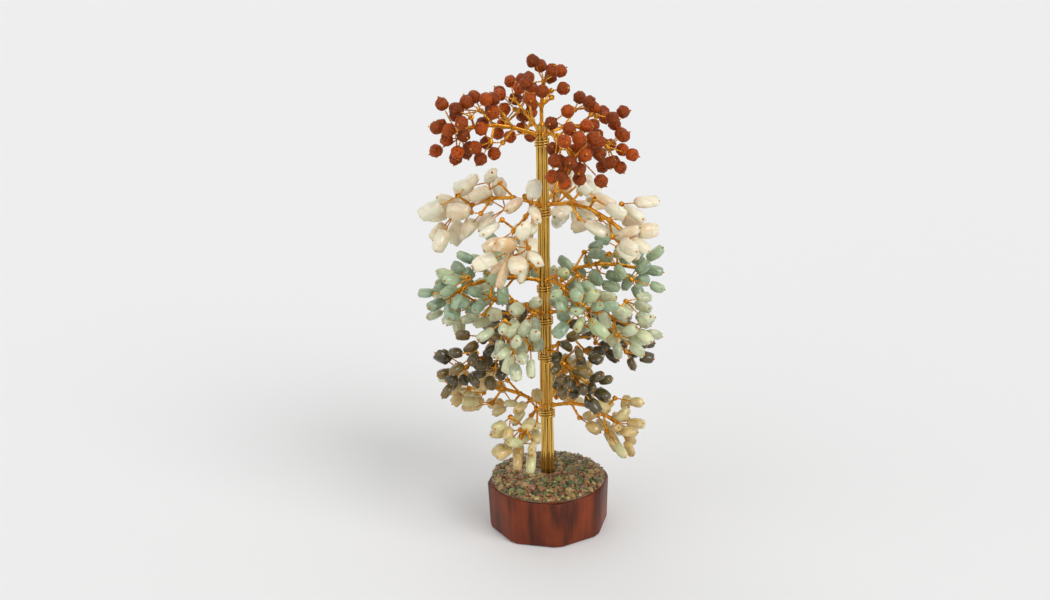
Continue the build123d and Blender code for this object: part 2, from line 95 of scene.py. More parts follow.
# Branch wires: edges up to SHORT_EDGE belong to one knot, shoulder or head
SHORT_EDGE = 2.2 * MM
LEAST_KNOT = 1.2 * MM
KNOT_RADIUS = 1.6 * MM
SAME_KNOT = 0.1 * MM
STEM_RADIUS = 1.15 * MM
FULL_STEM = 0.85 * STEM_RADIUS
STEM_WIRES, FORK_WIRES = 5, 3
PAIR_TOUCH = 0.95

# Bent-over wire ends, and how far each is drawn in towards its stone
HEAD_RADIUS = 0.62 * MM
BEAD_CAP = 0.65 * MM
CHIP_CAP = 0.1 * MM

# The wire back over a chip: shares of its way, and how far it is lifted there
RETURN_DIP = 0.2 * MM
RETURN_TURNS = 12
RETURN_SHAPE = (
    (-0.04, 0.0),
    (0.1, 0.66),
    (0.24, 0.92),
    (0.5, 1.0),
    (0.76, 0.92),
    (0.92, 0.6),
    (1.0, 0.0),
)

# Trunk: three wires fill each strand's circle
THREE_IN_ROUND = 0.464
TIGHT_LAY = 1.04
STRAND_TURN = 0.9
TRUNK_STEPS = 40
TRUNK_WAVES = (17 * MM, 23 * MM)
END_SLICE = 0.5 * MM

# Stones and grit
BLUNT_ENDS = 0.2
UNEVEN = (0.94, 1.05)
SEED_FURROWS = 5
GRAIN_SIZES = (0.75, 1.5)
GRAIN_LIFT = 0.3

# Each stone's tint: place among the stones, share of the colour, warmth
GRAVEL_MIXES = {
    "green": ((0.105, 0.125, 0.035), ((0.0, 0.35, 0.0), (0.5, 1.0, 0.0), (1.0, 2.4, 0.1))),
    "amber": ((0.33, 0.2, 0.06), ((0.0, 0.4, 0.1), (0.45, 1.0, 0.0), (1.0, 1.9, -0.25))),
    "red": ((0.24, 0.1, 0.04), ((0.0, 0.35, 0.1), (0.5, 1.0, 0.1), (1.0, 2.0, -0.1))),
}
CHIP_LOOKS = {
    "milky": dict(
        stops=((0.0, 0.62, 0.4), (0.2, 0.85, 0.14), (0.5, 1.03, 0.0), (1.0, 1.18, -0.06)),
        clear=0.1,
        glow=0.3,
        vein=0.2,
    ),
    "greygreen": dict(
        stops=((0.0, 0.55, -0.05), (0.4, 0.95, -0.1), (0.8, 1.2, 0.0), (1.0, 1.5, 0.3)),
        clear=0.15,
        glow=0.15,
    ),
    "palegreen": dict(
        stops=((0.0, 0.65, -0.05), (0.5, 1.0, 0.0), (1.0, 1.3, 0.03)),
        clear=0.2,
        glow=0.2,
        vein=0.25,
    ),
    "dark": dict(stops=((0.0, 0.4, 0.0), (0.6, 1.0, 0.1), (1.0, 2.8, 0.3)), glow=0.0),
    "yellow": dict(
        stops=((0.0, 0.6, 0.2), (0.5, 1.0, 0.0), (1.0, 1.3, -0.3)),
        clear=0.2,
        glow=0.2,
        vein=0.25,
    ),
}

# Stage
FLOOR_REACH = 40.0
SKY_LIGHT = 0.58
SENSOR_WIDTH = 36.0


# Sizes and colours that a user would change


def length(label, words, default):
    return FloatProperty(name=label, description=words, default=default, unit="LENGTH", precision=5)


def growth(label, words, default):
    return FloatProperty(name=label, description=words, default=default, min=1.0)


def lean(label, words, degrees):
    return FloatProperty(name=label, description=words, default=math.radians(degrees), subtype="ANGLE")


def tone(label, words, default):
    return FloatVectorProperty(
        name=label, description=words, default=default, subtype="COLOR", size=3, min=0.0, max=1.0
    )


class GEMTREE_PG_wire(bpy.types.PropertyGroup):
    strand: length("Strand", "Radius of one wire of a twisted stem", 0.42 * MM)
    stem_pitch: length("Stem lay", "Length of one turn of a twisted stem", 13 * MM)
    twig: length("Bunch wire", "Radius of one wire of a twisted pair", 0.24 * MM)
    twig_pitch: length("Pair lay", "Length of one turn of a twisted pair", 3.0 * MM)
    wrap: length("Knot wire", "Radius of the wire that is wound round a knot", 0.3 * MM)
    loop: length("Return wire", "Radius of the wire that goes back over a chip", 0.19 * MM)
    trunk_pitch: length("Trunk lay", "Length of one turn of a trunk strand", 150 * MM)
    trunk_wave: length("Trunk wave", "How far a trunk wire strays from its line", 0.16 * MM)
    gold: tone("Gold", "Colour of the wire", (0.8, 0.39, 0.045))
    gold_deep: tone("Deep gold", "Colour of the wire where it is tarnished", (0.42, 0.145, 0.008))


class GEMTREE_PG_stone(bpy.types.PropertyGroup):
    swell: growth("Swell", "Growth of a chip before its edges are eased", 1.07)
    broad: growth("Broad", "Widening of a chip across its wire", 1.12)
    petal: growth("Petal", "Widening of the white chips", 1.27)
    edge: length("Tumbled edge", "Width of the easing on a chip's edges", 0.8 * MM)
    bead_knobs: length("Knobs", "Height of the knobs of a seed bead", 0.42 * MM)
    seed: tone("Seed", "Colour of the seed beads", (0.3, 0.05, 0.002))
    milky: tone("Milky", "Colour of the white chips", (0.94, 0.82, 0.6))
    greygreen: tone("Grey green", "Colour of the third tier", (0.37, 0.48, 0.29))
    palegreen: tone("Pale green", "Colour of the fourth tier", (0.66, 0.71, 0.47))
    dark: tone("Dark", "Colour of the fifth tier", (0.078, 0.06, 0.016))
    yellow: tone("Yellow", "Colour of the lowest tier", (0.72, 0.56, 0.24))


class GEMTREE_PG_base(bpy.types.PropertyGroup):
    edge: length("Eased edge", "Width of the rounding on the block's edges", 0.7 * MM)
    wood: tone("Wood", "Colour of the stained wood", (0.15, 0.028, 0.008))
    grain: tone("Grain", "Colour of the dark streaks", (0.065, 0.014, 0.006))
    glue: tone("Glue", "Colour of the glue bed", (0.12, 0.085, 0.035))
    chip_swell: growth("Gravel swell", "Growth of a gravel chip", 1.4)
    chip_edge: length("Gravel edge", "Width of the easing on a gravel chip", 0.4 * MM)
    grit: IntProperty(
        name="Grit", description="Number of places tried for small grains", default=1500, min=0
    )


class GEMTREE_PG_stage(bpy.types.PropertyGroup):
    distance: length("Distance", "Camera distance in front of the trunk", 0.8)
    height: length("Height", "Camera height over the table", 0.418)
    aside: length("Aside", "Camera place to the right of the trunk", -0.011)
    pitch: lean("Pitch", "How far the camera looks down", 19.36)
    roll: lean("Roll", "Lean of the tree in the picture", 1.3)
    lens: FloatProperty(name="Lens", description="Focal length in millimetres", default=52.4)
    paper: tone("Paper", "Colour of the floor and background", (0.83, 0.83, 0.83))


def settings(part):
    return getattr(bpy.context.scene, f"gemtree_{part}")


# Materials


class Val:
    """A node's socket that can be added and multiplied."""

    def __init__(self, finish, socket):
        self.finish = finish
        self.socket = socket

    def maths(self, operation, first, second):
        return self.finish.node("ShaderNodeMath", {"operation": operation}, {0: first, 1: second})

    def __add__(self, other):
        return self.maths("ADD", self, other)

    def __mul__(self, other):
        return self.maths("MULTIPLY", self, other)

    __radd__ = __add__
    __rmul__ = __mul__


class Finish:
    """One procedural material while its nodes are laid."""

    def __init__(self, name):
        self.material = bpy.data.materials.new(name)
        self.material.use_nodes = True
        self.tree = self.material.node_tree
        self.shader = self.tree.nodes["Principled BSDF"]
        self.place = self.node("ShaderNodeTexCoord", out="Object")

    def node(self, kind, settings=None, inputs=None, out=0):
        """Lay one node: its settings first, then values or links on its sockets."""
        made = self.tree.nodes.new(kind)
        for key, value in (settings or {}).items():
            if key == "stops":
                self.stops(made.color_ramp, value)
            else:
                setattr(made, key, value)
        for key, value in (inputs or {}).items():
            self.feed(made.inputs[key], value)
        return Val(self, made.outputs[out])

    def stops(self, ramp, stops):
        while len(ramp.elements) < len(stops):
            ramp.elements.new(0.5)
        for element, (place, colour) in zip(ramp.elements, stops):
            element.position = place
            element.color = (*colour, 1.0)

    def feed(self, socket, value):
        if isinstance(value, Val):
            self.tree.links.new(value.socket, socket)
        elif socket.type == "RGBA":
            socket.default_value = (*value[:3], 1.0)
        else:
            socket.default_value = value

    def noise(self, scale, detail=4.0, rough=0.55, place=None):
        inputs = {"Vector": place or self.place, "Scale": scale, "Detail": detail, "Roughness": rough}
        return self.node("ShaderNodeTexNoise", None, inputs)

    def stretched(self, height):
        """Object coordinates in which a pattern is drawn out upwards."""
        inputs = {"Vector": self.place, "Scale": (1.0, 1.0, height)}
        return self.node("ShaderNodeMapping", None, inputs)

    def ramp(self, value, *stops):
        return self.node("ShaderNodeValToRGB", {"stops": stops}, {"Fac": value})

    def blend(self, share, first, second):
        """Mix two colours; the node's colour sockets are 6 and 7."""
        inputs = {0: share, 6: first, 7: second}
        return self.node("ShaderNodeMix", {"data_type": "RGBA"}, inputs, out=2)

    def bump(self, height, strength, distance):
        inputs = {"Height": height, "Strength": strength, "Distance": distance}
        return self.node("ShaderNodeBump", None, inputs)

    def wear(self, **values):
        """Set the shader's sockets: underscores stand for blanks."""
        for key, value in values.items():
            self.feed(self.shader.inputs[key.replace("_", " ")], value)
        return self.material


def tinted(colour, factor, warm=0.0):
    """A colour made lighter or darker, and warmer or cooler."""
    shares = (1 + warm, 1, 1 - warm)
    return tuple(min(1.0, max(0.0, value * factor * share)) for value, share in zip(colour, shares))


def gold_finish():
    wire = settings("wire")
    finish = Finish("gold_wire")
    patches = finish.noise(240.0, 3.0)
    colour = finish.ramp(patches, (0.3, tuple(wire.gold_deep)), (0.55, tuple(wire.gold)))
    scratches = finish.noise(1600.0, 2.0)
    return finish.wear(
        Base_Color=colour,
        Metallic=1.0,
        Roughness=0.16 + 0.16 * patches,
        Normal=finish.bump(scratches, 0.12, 0.0001),
    )


def stone_finish(name, colour, stops, rough=0.16, clear=0.0, glow=0.12, vein=0.35, coat=0.35):
    """Polished stone: a tint for each stone, cloudy bands and fine veins in it."""
    finish = Finish(name)
    tint = finish.node("ShaderNodeAttribute", {"attribute_name": "tint"}, out="Fac")
    base = finish.ramp(tint, *((place, tinted(colour, factor, warm)) for place, factor, warm in stops))
    cloud = finish.noise(190.0, 5.0, 0.6)
    pale = tinted(colour, 1.35, 0.04)
    mottled = finish.blend(finish.ramp(cloud, (0.42, (0, 0, 0)), (0.75, (1, 1, 1))), base, pale)
    thread = finish.node(
        "ShaderNodeTexWave",
        {"wave_type": "BANDS", "bands_direction": "DIAGONAL"},
        {"Vector": finish.place, "Scale": 60.0, "Distortion": 9.0, "Detail": 3.0, "Detail Scale": 1.6},
    )
    lines = finish.ramp(thread, (0.82, (0, 0, 0)), (0.98, (vein, vein, vein)))
    veined = finish.blend(lines, mottled, tinted(colour, 0.45, 0.25))
    pits = finish.noise(900.0, 3.0)
    return finish.wear(
        Base_Color=veined,
        Roughness=rough + 0.12 * pits,
        Coat_Weight=coat,
        Coat_Roughness=0.08,
        Transmission_Weight=clear,
        Subsurface_Weight=glow,
        Subsurface_Scale=0.002,
        IOR=1.54,
        Normal=finish.bump(cloud + 0.3 * pits, 0.12, 0.0004),
    )


def seed_finish():
    stone = settings("stone")
    finish = Finish("seed_bead")
    tint = finish.node("ShaderNodeAttribute", {"attribute_name": "tint"}, out="Fac")
    colour = tuple(stone.seed)
    darkest, palest = tinted(colour, 0.55), tinted(colour, 1.5, 0.06)
    base = finish.ramp(tint, (0.0, darkest), (0.5, colour), (1.0, palest))
    grit = finish.noise(760.0, 5.0, 0.65)
    pores = finish.node("ShaderNodeTexVoronoi", None, {"Vector": finish.place, "Scale": 560.0})
    dust = finish.ramp(grit, (0.5, (0, 0, 0)), (0.72, (0.75, 0.75, 0.75)))
    dusty = finish.blend(dust, base, tinted(colour, 2.1, -0.1))
    # Painted shade: each seed is darkened in its pores, where the bump dents it, as shade falling into
    # those recesses
    pits = finish.ramp(pores, (0.1, (0.85, 0.85, 0.85)), (0.45, (0, 0, 0)))
    shaded = finish.blend(pits, dusty, tinted(colour, 0.3))
    return finish.wear(
        Base_Color=shaded,
        Roughness=0.34 + 0.25 * grit,
        Coat_Weight=0.06,
        Coat_Roughness=0.2,
        Specular_IOR_Level=0.18,
        Normal=finish.bump(grit + 0.8 * pores, 0.7, 0.001),
    )


def wood_finish():
    base = settings("base")
    finish = Finish("base_wood")
    long = finish.stretched(0.16)
    rings = finish.node(
        "ShaderNodeTexWave",
        {"wave_type": "RINGS", "rings_direction": "Z"},
        {"Vector": long, "Scale": 62.0, "Distortion": 7.5, "Detail": 4.0, "Detail Scale": 1.3},
    )
    upright = finish.stretched(0.05)
    fibre = finish.noise(640.0, 5.0, 0.6, upright)
    stain = finish.noise(38.0, 3.0)
    wood, grain = tuple(base.wood), tuple(base.grain)
    tone_map = finish.ramp(
        0.55 * rings + 0.45 * fibre, (0.2, grain), (0.52, wood), (0.85, tinted(wood, 1.5, 0.08))
    )
    stained = finish.ramp(stain, (0.35, (0.6, 0.6, 0.6)), (0.62, (0, 0, 0)))
    colour = finish.blend(stained, tone_map, grain)
    return finish.wear(
        Base_Color=colour,
        Roughness=0.4 + 0.18 * fibre,
        Coat_Weight=0.07,
        Coat_Roughness=0.2,
        Specular_IOR_Level=0.2,
        Normal=finish.bump(fibre + 0.5 * rings, 0.25, 0.0004),
    )


def glue_finish():
    base = settings("base")
    finish = Finish("glue_bed")
    grit = finish.noise(420.0, 4.0)
    glue = tuple(base.glue)
    return finish.wear(
        Base_Color=finish.ramp(grit, (0.35, tinted(glue, 0.5)), (0.65, tinted(glue, 1.5, 0.1))),
        Roughness=0.25 + 0.3 * grit,
        Coat_Weight=0.3,
        Normal=finish.bump(grit, 0.6, 0.001),
    )


# Reading the CAD frame


def cad_copy(node):
    """A merged copy of a CAD node's loose triangles."""
    bm = bmesh.new()
    bm.from_mesh(frame["nodes"][node].data)
    bmesh.ops.remove_doubles(bm, verts=bm.verts, dist=SAME_POINT)
    return bm


def heaps(bm, longest=1.0):
    """Vertices that are joined by edges no longer than a length, heap by heap."""
    seen, found = set(), []
    for start in bm.verts:
        if start in seen:
            continue
        heap, todo = [], [start]
        seen.add(start)
        while todo:
            vert = todo.pop()
            heap.append(vert)
            for edge in vert.link_edges:
                other = edge.other_vert(vert)
                if other not in seen and edge.calc_length() <= longest:
                    seen.add(other)
                    todo.append(other)
        found.append(heap)
    return found


def ball_centre(points):
    """Middle of the ball that lies best on the points."""
    grid = np.array([tuple(point) for point in points])
    middle = grid.mean(0)
    flat = grid - middle
    rows = np.hstack([2 * flat, np.ones((len(flat), 1))])
    answer = np.linalg.lstsq(rows, (flat**2).sum(1), rcond=None)[0]
    return Vector(middle + answer[:3])


def read_branch(body):
    """Knots, straight runs and bunch wires of a branch, from its CAD wires."""
    bm = cad_copy(f"{body}_wires")
    places, sizes, owner = [], [], {}
    for number, heap in enumerate(heaps(bm, SHORT_EDGE)):
        middle = sum((vert.co for vert in heap), Vector()) / len(heap)
        size = max((vert.co - middle).length for vert in heap)
        places.append(ball_centre([vert.co for vert in heap]) if size > LEAST_KNOT else middle)
        sizes.append(size)
        for vert in heap:
            owner[vert] = number
    links = {}
    for edge in bm.edges:
        pair = tuple(sorted(owner[vert] for vert in edge.verts))
        if pair[0] != pair[1]:
            links.setdefault(pair, []).append(edge)
    knots = {n for n, size in enumerate(sizes) if size > LEAST_KNOT}
    runs, feet, tops = [], {}, {}
    for (a, b), edges in links.items():
        if a in knots and b in knots:
            axis = (places[b] - places[a]).normalized()
            gaps = sorted((e.verts[0].co - places[a]).cross(axis).length for e in edges)
            runs.append((places[a], places[b], gaps[len(gaps) // 2]))
        elif a in knots or b in knots:
            knot, shoulder = (a, b) if a in knots else (b, a)
            feet[shoulder] = knot
        else:
            shoulder, head = sorted((a, b), key=lambda n: sizes[n])
            tops[shoulder] = head
    bm.free()
    twigs = [(places[feet[s]], places[s], places[tops[s]]) for s in feet if s in tops]
    return [places[n] for n in knots], runs, twigs


def stone_islands(node):
    bm = cad_copy(node)
    found = [[vert.co.copy() for vert in heap] for heap in heaps(bm)]
    bm.free()
    return found


def box_middle(points):
    low = Vector(map(min, *points))
    high = Vector(map(max, *points))
    return (low + high) / 2


def square_to(direction):
    """Two unit vectors square to a direction and to each other."""
    first = direction.orthogonal().normalized()
    return first, direction.cross(first).normalized()


# Making pieces


def piece_from(bm, name, body, nodes, material):
    """Finish a bmesh as one object that rides on a body and stands for CAD nodes."""
    for vert in bm.verts:
        vert.co = [min(max(value, low), high) for value, low, high in zip(vert.co, *CAD_BOX)]
    mesh = bpy.data.meshes.new(name)
    bm.to_mesh(mesh)
    bm.free()
    mesh.shade_smooth()
    piece = bpy.data.objects.new(name, mesh)
    bpy.context.scene.collection.objects.link(piece)
    mesh.materials.append(material)
    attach(piece, body)
    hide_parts(*nodes)
    return piece


def wire_mesh(bm, lines, radius, sides=1):
    """Add round wires along lines of points to a bmesh; a point may carry its own thickness."""
    curve = bpy.data.curves.new("wire", "CURVE")
    curve.dimensions = "3D"
    curve.bevel_depth = radius
    curve.bevel_resolution = sides
    curve.use_fill_caps = True
    for line in lines:
        spline = curve.splines.new("POLY")
        spline.points.add(len(line) - 1)
        for point, place in zip(spline.points, line):
            point.co = (*place[:3], 1.0)
            point.radius = place[3] if len(place) > 3 else 1.0
    holder = bpy.data.objects.new("wire", curve)
    bpy.context.scene.collection.objects.link(holder)
    bpy.context.view_layer.update()
    drawn = holder.evaluated_get(bpy.context.evaluated_depsgraph_get())
    mesh = bpy.data.meshes.new_from_object(drawn)
    bm.from_mesh(mesh)
    bpy.data.objects.remove(holder)
    bpy.data.curves.remove(curve)
    bpy.data.meshes.remove(mesh)


def twist(start, end, count, offset, pitch, turn=0.0, steps=7, thickness=(1.0, 1.0)):
    """Lines of wires that are twisted round the line from start to end."""
    along = end - start
    first, second = square_to(along.normalized())
    rows = max(2, math.ceil(along.length / pitch * steps))
    lines = []
    for wire in range(count):
        line = []
        for i in range(rows + 1):
            share = i / rows
            angle = turn + math.tau * (wire / count + share * along.length / pitch)
            size = thickness[0] + share * (thickness[1] - thickness[0])
            round_axis = (first * math.cos(angle) + second * math.sin(angle)) * offset * size
            line.append((*(start + along * share + round_axis), size))
        lines.append(line)
    return lines


def ball_winding(centre, axis, radius, wire, turns=5):
    """One wire wound into a ball round an axis."""
    first, second = square_to(axis)
    line = []
    reach = radius - wire
    for i in range(turns * 9 + 1):
        share = 2 * i / (turns * 9) - 1
        level = reach * 0.88 * share
        out = math.sqrt(max(reach**2 - level**2, 0.0))
        angle = math.tau * turns * (share + 1) / 2
        round_axis = first * math.cos(angle) + second * math.sin(angle)
        line.append(tuple(centre + axis * level + round_axis * out))
    return line


def tumbled_chip(points, axis, swell, broad, edge, chance):
    """A chip's corners as a closed hull: swollen, blunt at both ends, uneven, with eased edges."""
    bm = bmesh.new()
    for point in points:
        bm.verts.new(point)
    hull = bmesh.ops.convex_hull(bm, input=bm.verts)
    within = hull["geom_interior"] + hull["geom_unused"]
    spare = {item for item in within if isinstance(item, bmesh.types.BMVert)}
    bmesh.ops.delete(bm, geom=list(spare), context="VERTS")
    bmesh.ops.dissolve_limit(bm, angle_limit=math.radians(3), verts=bm.verts, edges=bm.edges)
    middle = sum((vert.co for vert in bm.verts), Vector()) / len(bm.verts)
    half = max(abs((vert.co - middle).dot(axis)) for vert in bm.verts)
    for vert in bm.verts:
        along = axis * (vert.co - middle).dot(axis)
        aside = vert.co - middle - along
        blunt = broad * (1 + BLUNT_ENDS * (along.length / half) ** 2)
        vert.co = middle + (along + aside * blunt) * swell * chance.uniform(*UNEVEN)
    bmesh.ops.bevel(
        bm,
        geom=bm.edges[:],
        offset=edge,
        affect="EDGES",
        segments=1,
        profile=0.5,
        clamp_overlap=True,
        material=-1,
    )
    return bm


def gather(target, part, tint):
    """Add a small bmesh to a larger one, with one tint for the whole of it."""
    layer = part.verts.layers.float.get("tint") or part.verts.layers.float.new("tint")
    for vert in part.verts:
        vert[layer] = tint
    mesh = bpy.data.meshes.new("part")
    part.to_mesh(mesh)
    part.free()
    target.from_mesh(mesh)
    bpy.data.meshes.remove(mesh)


def grit_grains(count, chips):
    """Small grains that lie on the glue between the gravel chips."""
    chance = random.Random("grit")
    source = cad_copy("glue_bed")
    bed = BVHTree.FromBMesh(source)
    source.free()
    low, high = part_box("glue_bed")
    reach = (high.x - low.x) / 2
    grains = []
    for _ in range(count):
        far, angle = reach * math.sqrt(chance.uniform(0.03, 0.98)), chance.uniform(0, math.tau)
        place = Vector((far * math.cos(angle), far * math.sin(angle), high.z + 0.01))
        size = chance.uniform(*GRAIN_SIZES) * MM
        hit = bed.ray_cast(place, DOWN)[0]
        if hit is None or any((hit.xy - middle.xy).length < wide * 0.85 for middle, wide in chips):
            continue
        hit.z += GRAIN_LIFT * size
        grain = bmesh.new()
        bmesh.ops.create_icosphere(grain, subdivisions=1, radius=size)
        turn = Matrix.Rotation(chance.uniform(0, math.tau), 4, Vector((chance.random(), 0.4, 1.0)))
        shape = Matrix.Diagonal((chance.uniform(0.8, 1.5), 1.0, chance.uniform(0.6, 0.9), 1.0))
        bmesh.ops.transform(grain, matrix=Matrix.Translation(hit) @ turn @ shape, verts=grain.verts)
        grains.append(grain)
    return grains


def nearest_axis(points, twigs):
    """Direction of the bunch wire that a stone is threaded on."""
    centre = box_middle(points)
    _, shoulder, head = min(twigs, key=lambda twig: ((twig[1] + twig[2]) / 2 - centre).length)
    return (head - shoulder).normalized()


def chips_piece(node, name, body, material, shape, twigs=(), extra=()):
    """All the chips of a CAD node as one piece, each with its own tint."""
    chance = random.Random(name)
    bm = bmesh.new()
    bm.verts.layers.float.new("tint")
    for points in stone_islands(node):
        axis = nearest_axis(points, twigs) if twigs else UP
        gather(bm, tumbled_chip(points, axis, *shape, chance), chance.random())
    for part in extra:
        gather(bm, part, chance.random())
    piece_from(bm, name, body, [node], material)


def bead_at(centre, axis, radius, knobs, chance):
    """A knobbly seed with five furrows from hole to hole."""
    bm = bmesh.new()
    bmesh.ops.create_icosphere(bm, subdivisions=3, radius=radius)
    start = chance.uniform(0, math.tau)
    shift = Vector((chance.uniform(0, 90), chance.uniform(0, 90), chance.uniform(0, 90)))
    for vert in bm.verts:
        way = vert.co.normalized()
        round_axis = math.atan2(way.y, way.x) + start
        furrow = abs(math.cos(SEED_FURROWS / 2 * round_axis)) ** 0.5
        spots = way * 5.2 + shift
        lumps = math.sin(spots.x) * math.sin(spots.y) * math.sin(spots.z)
        lumps += 0.6 * math.sin(2.1 * spots.y) * math.sin(1.9 * spots.z + 1) * math.sin(2.3 * spots.x)
        dent = (1 - furrow) * (1 - abs(way.z) ** 3)
        vert.co = way * (radius - knobs * 0.9 - knobs * 1.3 * dent + knobs * 0.9 * lumps)
    turn = axis.to_track_quat("Z", "Y").to_matrix().to_4x4()
    bmesh.ops.transform(bm, matrix=Matrix.Translation(centre) @ turn, verts=bm.verts)
    return bm


class GEMTREE_OT_wooden_base(bpy.types.Operator):
    """Make the wooden block with eased edges"""

    bl_idname = "gemtree.wooden_base"
    bl_label = "Wooden base"

    def execute(self, context):
        bm = cad_copy("wooden_base")
        bmesh.ops.dissolve_limit(bm, angle_limit=math.radians(2), verts=bm.verts, edges=bm.edges)
        closed = [edge for edge in bm.edges if len(edge.link_faces) == 2]
        sharp = [edge for edge in closed if edge.calc_face_angle() > math.radians(24)]
        edge = settings("base").edge
        bmesh.ops.bevel(
            bm, geom=sharp, offset=edge, affect="EDGES", segments=2, profile=0.5, material=-1
        )
        piece = piece_from(bm, "stained_block", TRUNK, ["wooden_base"], wood_finish())
        piece.data.set_sharp_from_angle(angle=math.radians(28))
        return {"FINISHED"}


class GEMTREE_OT_gravel(bpy.types.Operator):
    """Round the gravel chips and finish the glue bed"""

    bl_idname = "gemtree.gravel"
    bl_label = "Gravel and glue"

    def execute(self, context):
        bed = frame["nodes"]["glue_bed"]
        bed.data.materials.clear()
        bed.data.materials.append(glue_finish())
        chips = []
        for kind in GRAVEL_MIXES:
            for points in stone_islands(f"gravel_{kind}"):
                middle = box_middle(points)
                chips.append((middle, max((point.xy - middle.xy).length for point in points)))
        base = settings("base")
        grains = grit_grains(base.grit, chips)
        for number, (kind, (colour, stops)) in enumerate(GRAVEL_MIXES.items()):
            finish = stone_finish(f"gravel_{kind}", colour, stops, rough=0.28, glow=0.0, coat=0.1)
            node, name = f"gravel_{kind}", f"gravel_chips_{kind}"
            shape = (base.chip_swell, 1.0, base.chip_edge)
            spread = grains[number :: len(GRAVEL_MIXES)]
            chips_piece(node, name, TRUNK, finish, shape, extra=spread)
        return {"FINISHED"}


class GEMTREE_OT_trunk(bpy.types.Operator):
    """Twist the wires of the trunk"""

    bl_idname = "gemtree.trunk"
    bl_label = "Trunk"

    def execute(self, context):
        wire = settings("wire")
        gold = bpy.data.materials["gold_wire"]
        chance = random.Random("trunk")
        bm = bmesh.new()
        for number, points in enumerate(stone_islands("trunk_strands")):
            low = min(point.z for point in points)
            high = max(point.z for point in points)
            foot = [point for point in points if point.z < low + END_SLICE]
            top = [point for point in points if point.z > high - END_SLICE]
            start, end = box_middle(foot), box_middle(top)
            thick = max((point - start).length for point in foot)
            thin = max((point - end).length for point in top)
            inner = thick * THREE_IN_ROUND
            taper = (1.0, thin / thick)
            turn = number * STRAND_TURN
            wires = []
            for line in twist(start, end, 3, thick - inner, wire.trunk_pitch, turn, TRUNK_STEPS, taper):
                sway = [chance.uniform(0, math.tau) for _ in TRUNK_WAVES]
                wavy = []
                for x, y, z, size in line:
                    x += wire.trunk_wave * math.sin(z / TRUNK_WAVES[0] + sway[0])
                    y += wire.trunk_wave * math.sin(z / TRUNK_WAVES[1] + sway[1])
                    wavy.append((x, y, z, size))
                wires.append(wavy)
            wire_mesh(bm, wires, inner * TIGHT_LAY, 2)
        piece_from(bm, "trunk_twisted_strands", TRUNK, ["trunk_strands"], gold)
        for node in ("trunk_core", "trunk_bindings"):
            mesh = frame["nodes"][node].data
            mesh.materials.clear()
            mesh.materials.append(gold)
        return {"FINISHED"}


class GEMTREE_OT_branch_wires(bpy.types.Operator):
    """Twist the stems, knots and bunch wires of every branch"""

    bl_idname = "gemtree.branch_wires"
    bl_label = "Branch wires"

    def execute(self, context):
        wire = settings("wire")
        gold = gold_finish()
        for body in BRANCHES:
            knots, runs, twigs = read_branch(body)
            stones = stone_islands(f"{body}_stones")
            bm = bmesh.new()
            stems, pairs, wraps, ends, loops = [], [], [], [], []
            for start, end, radius in runs:
                count = STEM_WIRES if radius > FULL_STEM else FORK_WIRES
                pitch = wire.stem_pitch * radius / STEM_RADIUS
                stems += twist(start, end, count, radius - wire.strand, pitch)
            for knot in knots:
                ways = [end - start for start, end, _ in runs if (end - knot).length < SAME_KNOT]
                ways += [start - end for start, end, _ in runs if (start - knot).length < SAME_KNOT]
                wraps.append(ball_winding(knot, ways[0].normalized(), KNOT_RADIUS, wire.wrap))
            for knot, shoulder, head in twigs:
                way = (head - shoulder).normalized()
                pairs += twist(knot, shoulder, 2, wire.twig * PAIR_TOUCH, wire.twig_pitch, steps=6)
                if body.startswith(BEADED):
                    cap = head - way * BEAD_CAP
                    loops.append([tuple(shoulder), tuple(cap)])
                else:
                    cap = head - way * CHIP_CAP
                    loops.append(self.return_wire(shoulder, cap - way * RETURN_DIP, stones, wire.loop))
                ends.append(ball_winding(cap, way, HEAD_RADIUS, wire.loop, 2))
            wire_mesh(bm, stems, wire.strand, 1)
            wire_mesh(bm, wraps, wire.wrap, 1)
            wire_mesh(bm, pairs, wire.twig, 1)
            wire_mesh(bm, ends + loops, wire.loop, 0)
            piece_from(bm, f"{body}_twisted_wires", body, [f"{body}_wires"], gold)
        return {"FINISHED"}

    def return_wire(self, shoulder, top, stones, thick):
        """The wire that goes from a chip's far end back to its twisted pair, over its thin side."""
        along = top - shoulder
        middle = (shoulder + top) / 2
        points = min(stones, key=lambda heap: (box_middle(heap) - middle).length)
        first, second = square_to(along.normalized())
        turns = [math.tau * i / RETURN_TURNS for i in range(RETURN_TURNS)]
        sides = [first * math.cos(turn) + second * math.sin(turn) for turn in turns]
        reaches = [max((point - middle).dot(side) for point in points) for side in sides]
        thin = reaches.index(min(reaches))
        out = sides[thin] * (reaches[thin] * 0.94 + thick * 0.6)
        return [tuple(shoulder + along * share + out * lift) for share, lift in RETURN_SHAPE]


class GEMTREE_OT_chip_stones(bpy.types.Operator):
    """Round and polish the stone chips of the five lower tiers"""

    bl_idname = "gemtree.chip_stones"
    bl_label = "Stone chips"

    def execute(self, context):
        stone = settings("stone")
        for kind, look in CHIP_LOOKS.items():
            finish = stone_finish(f"{kind}_stone", tuple(getattr(stone, kind)), **look)
            shape = (stone.swell, stone.petal if kind == "milky" else stone.broad, stone.edge)
            for body in BRANCHES:
                if body.startswith(f"{kind}_"):
                    node, name = f"{body}_stones", f"{body}_tumbled_chips"
                    _, _, twigs = read_branch(body)
                    chips_piece(node, name, body, finish, shape, twigs)
        return {"FINISHED"}


